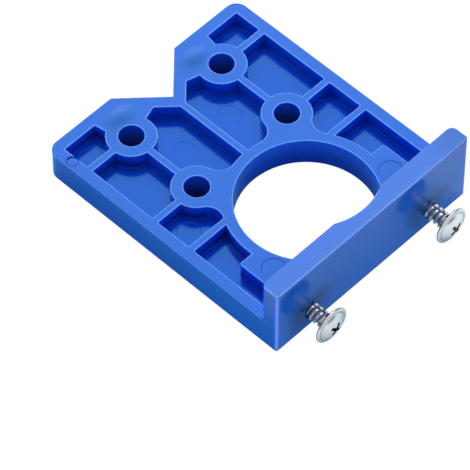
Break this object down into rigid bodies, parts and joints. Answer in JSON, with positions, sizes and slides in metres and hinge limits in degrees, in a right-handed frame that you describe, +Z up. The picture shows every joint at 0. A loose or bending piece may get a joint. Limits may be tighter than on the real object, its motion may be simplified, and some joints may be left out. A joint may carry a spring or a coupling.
{
  "type": "hinge drilling jig",
  "caption": "Moulded plate jig that guides a cup-hinge cutter, with a fence, pilot holes, a sighting notch and screw edge stops.",
  "frame": {"origin": "middle of the jig's outline in plan, at the height of the lowest edges of the screw heads", "axes": "+X along the fence, +Y from the fence towards the sighting notch, +Z up out of the ribbed side"},
  "size_m": [0.0648, 0.0841, 0.022],
  "materials": {
    "blue_plastic": "moulded, satin to gloss",
    "plated_steel": "bright zinc plating"
  },
  "bodies": {
    "jig": {"jig_body": "blue_plastic"},
    "left_stop": {"screw_left": "plated_steel"},
    "right_stop": {"screw_right": "plated_steel"}
  },
  "joints": [
    {"name": "left_screw_travel", "type": "slide", "parent": "jig", "child": "left_stop", "axis": [0, -1, 0], "range_m": [-0.0053, 0.0064]},
    {"name": "right_screw_travel", "type": "slide", "parent": "jig", "child": "right_stop", "axis": [0, -1, 0], "range_m": [-0.0058, 0.0059]}
  ]
}
